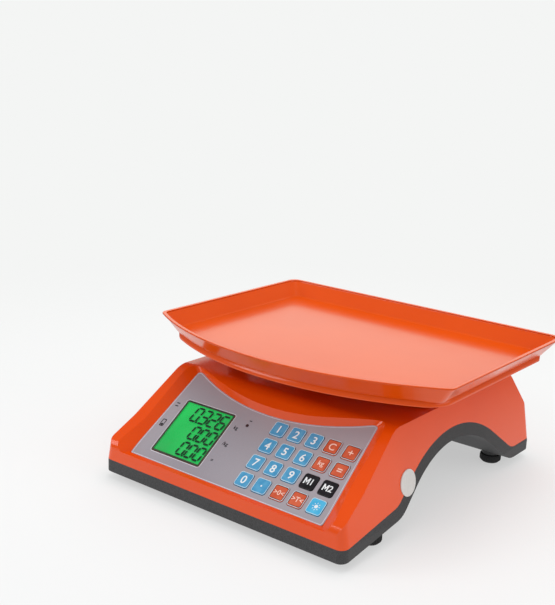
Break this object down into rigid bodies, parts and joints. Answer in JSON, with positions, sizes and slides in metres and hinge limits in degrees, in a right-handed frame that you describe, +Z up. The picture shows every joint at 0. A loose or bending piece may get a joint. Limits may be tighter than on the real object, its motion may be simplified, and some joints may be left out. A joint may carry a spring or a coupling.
{
  "type": "retail price scale",
  "caption": "Counter-top price-computing scale with an arched body, a sloping keypad console, a backlit display, a customer display and a lift-off weighing tray with a bowed front.",
  "frame": {"origin": "on the counter under the feet, at the middle of the scale's length and width", "axes": "+X to the operator's right, +Y from the operator to the customer, +Z up"},
  "size_m": [0.34, 0.3444, 0.1395],
  "materials": {
    "orange_shell": "gloss",
    "orange_tray": "gloss",
    "grey_shell": "satin",
    "console_film": "satin",
    "key_blue": "satin",
    "key_cyan": "satin",
    "key_red": "satin",
    "key_black": "satin",
    "silicone": "matte",
    "board_green": "satin",
    "chip_black": "matte",
    "steel": "brushed",
    "zinc_steel": "satin",
    "aluminium": "satin",
    "cast_alloy": "matte",
    "clear_window": "clear",
    "lcd_green": "satin",
    "diffuser": "satin",
    "led_lens": "clear",
    "rubber": "matte",
    "cell_sleeve": "satin",
    "black_plastic": "satin",
    "level_fluid": "clear",
    "seal_film": "satin"
  },
  "bodies": {
    "base": {"battery_box": "grey_shell", "battery_cells": "cell_sleeve", "board_screws": "steel", "cell_bolts": "steel", "cell_spacer": "aluminium", "charge_led": "led_lens", "charger_socket": "black_plastic", "chassis_plate": "zinc_steel", "chassis_screws": "steel", "console_board": "board_green", "console_overlay": "console_film", "display_backlight": "diffuser", "display_lcd": "lcd_green", "display_lens": "clear_window", "housing_screws": "steel", "inspection_seal": "seal_film", "key_mat": "silicone", "level_cup": "black_plastic", "level_vial": "level_fluid", "live_spacer": "aluminium", "load_cell": "aluminium", "lower_shell": "grey_shell", "main_board": "board_green", "main_board_parts": "chip_black", "rear_backlight": "diffuser", "rear_board": "board_green", "rear_lcd": "lcd_green", "rear_lens": "clear_window", "rear_overlay": "console_film", "spider": "cast_alloy", "switch_housing": "black_plastic", "tray_pads": "rubber", "upper_shell": "orange_shell"},
    "key_0": {"key_0": "key_blue"},
    "key_point": {"key_point": "key_blue"},
    "key_zero": {"key_zero": "key_red"},
    "key_tare": {"key_tare": "key_red"},
    "key_light": {"key_light": "key_cyan"},
    "key_7": {"key_7": "key_blue"},
    "key_8": {"key_8": "key_blue"},
    "key_9": {"key_9": "key_blue"},
    "key_memory_1": {"key_memory_1": "key_black"},
    "key_memory_2": {"key_memory_2": "key_black"},
    "key_4": {"key_4": "key_blue"},
    "key_5": {"key_5": "key_blue"},
    "key_6": {"key_6": "key_blue"},
    "key_unit": {"key_unit": "key_red"},
    "key_change": {"key_change": "key_red"},
    "key_1": {"key_1": "key_blue"},
    "key_2": {"key_2": "key_blue"},
    "key_3": {"key_3": "key_blue"},
    "key_clear": {"key_clear": "key_red"},
    "key_add": {"key_add": "key_red"},
    "tray": {"weighing_tray": "orange_tray"},
    "battery_door": {"battery_door": "grey_shell"},
    "power_rocker": {"power_rocker": "black_plastic"},
    "foot_front_left": {"foot_front_left": "rubber"},
    "foot_front_right": {"foot_front_right": "rubber"},
    "foot_rear_left": {"foot_rear_left": "rubber"},
    "foot_rear_right": {"foot_rear_right": "rubber"}
  },
  "joints": [
    {"name": "tray_lift", "type": "slide", "parent": "base", "child": "tray", "axis": [0, 0, 1], "range_m": [0, 0.08]},
    {"name": "key_0_press", "type": "slide", "parent": "base", "child": "key_0", "axis": [0, 0.5736, -0.8192], "range_m": [0, 0.0006], "stiffness_N_per_m": 1500},
    {"name": "key_point_press", "type": "slide", "parent": "base", "child": "key_point", "axis": [0, 0.5736, -0.8192], "range_m": [0, 0.0006], "stiffness_N_per_m": 1500},
    {"name": "key_zero_press", "type": "slide", "parent": "base", "child": "key_zero", "axis": [0, 0.5736, -0.8192], "range_m": [0, 0.0006], "stiffness_N_per_m": 1500},
    {"name": "key_tare_press", "type": "slide", "parent": "base", "child": "key_tare", "axis": [0, 0.5736, -0.8192], "range_m": [0, 0.0006], "stiffness_N_per_m": 1500},
    {"name": "key_light_press", "type": "slide", "parent": "base", "child": "key_light", "axis": [0, 0.5736, -0.8192], "range_m": [0, 0.0006], "stiffness_N_per_m": 1500},
    {"name": "key_7_press", "type": "slide", "parent": "base", "child": "key_7", "axis": [0, 0.5736, -0.8192], "range_m": [0, 0.0006], "stiffness_N_per_m": 1500},
    {"name": "key_8_press", "type": "slide", "parent": "base", "child": "key_8", "axis": [0, 0.5736, -0.8192], "range_m": [0, 0.0006], "stiffness_N_per_m": 1500},
    {"name": "key_9_press", "type": "slide", "parent": "base", "child": "key_9", "axis": [0, 0.5736, -0.8192], "range_m": [0, 0.0006], "stiffness_N_per_m": 1500},
    {"name": "key_memory_1_press", "type": "slide", "parent": "base", "child": "key_memory_1", "axis": [0, 0.5736, -0.8192], "range_m": [0, 0.0006], "stiffness_N_per_m": 1500},
    {"name": "key_memory_2_press", "type": "slide", "parent": "base", "child": "key_memory_2", "axis": [0, 0.5736, -0.8192], "range_m": [0, 0.0006], "stiffness_N_per_m": 1500},
    {"name": "key_4_press", "type": "slide", "parent": "base", "child": "key_4", "axis": [0, 0.5736, -0.8192], "range_m": [0, 0.0006], "stiffness_N_per_m": 1500},
    {"name": "key_5_press", "type": "slide", "parent": "base", "child": "key_5", "axis": [0, 0.5736, -0.8192], "range_m": [0, 0.0006], "stiffness_N_per_m": 1500},
    {"name": "key_6_press", "type": "slide", "parent": "base", "child": "key_6", "axis": [0, 0.5736, -0.8192], "range_m": [0, 0.0006], "stiffness_N_per_m": 1500},
    {"name": "key_unit_press", "type": "slide", "parent": "base", "child": "key_unit", "axis": [0, 0.5736, -0.8192], "range_m": [0, 0.0006], "stiffness_N_per_m": 1500},
    {"name": "key_change_press", "type": "slide", "parent": "base", "child": "key_change", "axis": [0, 0.5736, -0.8192], "range_m": [0, 0.0006], "stiffness_N_per_m": 1500},
    {"name": "key_1_press", "type": "slide", "parent": "base", "child": "key_1", "axis": [0, 0.5736, -0.8192], "range_m": [0, 0.0006], "stiffness_N_per_m": 1500},
    {"name": "key_2_press", "type": "slide", "parent": "base", "child": "key_2", "axis": [0, 0.5736, -0.8192], "range_m": [0, 0.0006], "stiffness_N_per_m": 1500},
    {"name": "key_3_press", "type": "slide", "parent": "base", "child": "key_3", "axis": [0, 0.5736, -0.8192], "range_m": [0, 0.0006], "stiffness_N_per_m": 1500},
    {"name": "key_clear_press", "type": "slide", "parent": "base", "child": "key_clear", "axis": [0, 0.5736, -0.8192], "range_m": [0, 0.0006], "stiffness_N_per_m": 1500},
    {"name": "key_add_press", "type": "slide", "parent": "base", "child": "key_add", "axis": [0, 0.5736, -0.8192], "range_m": [0, 0.0006], "stiffness_N_per_m": 1500},
    {"name": "battery_door_hinge", "type": "hinge", "parent": "base", "child": "battery_door", "pos_m": [-0.03, 0.1579, 0.011], "axis": [1, 0, 0], "range_deg": [0, 90]},
    {"name": "power_rocker_turn", "type": "hinge", "parent": "base", "child": "power_rocker", "pos_m": [0.07, 0.1678, 0.0325], "axis": [0, 0, 1], "range_deg": [0, 20]},
    {"name": "foot_front_left_screw", "type": "hinge", "parent": "base", "child": "foot_front_left", "pos_m": [-0.123, -0.1082, 0], "axis": [0, 0, 1], "range_deg": [-360, 360]},
    {"name": "foot_front_right_screw", "type": "hinge", "parent": "base", "child": "foot_front_right", "pos_m": [0.123, -0.1082, 0], "axis": [0, 0, 1], "range_deg": [-360, 360]},
    {"name": "foot_rear_left_screw", "type": "hinge", "parent": "base", "child": "foot_rear_left", "pos_m": [-0.116, 0.1288, 0], "axis": [0, 0, 1], "range_deg": [-360, 360]},
    {"name": "foot_rear_right_screw", "type": "hinge", "parent": "base", "child": "foot_rear_right", "pos_m": [0.116, 0.1288, 0], "axis": [0, 0, 1], "range_deg": [-360, 360]}
  ]
}
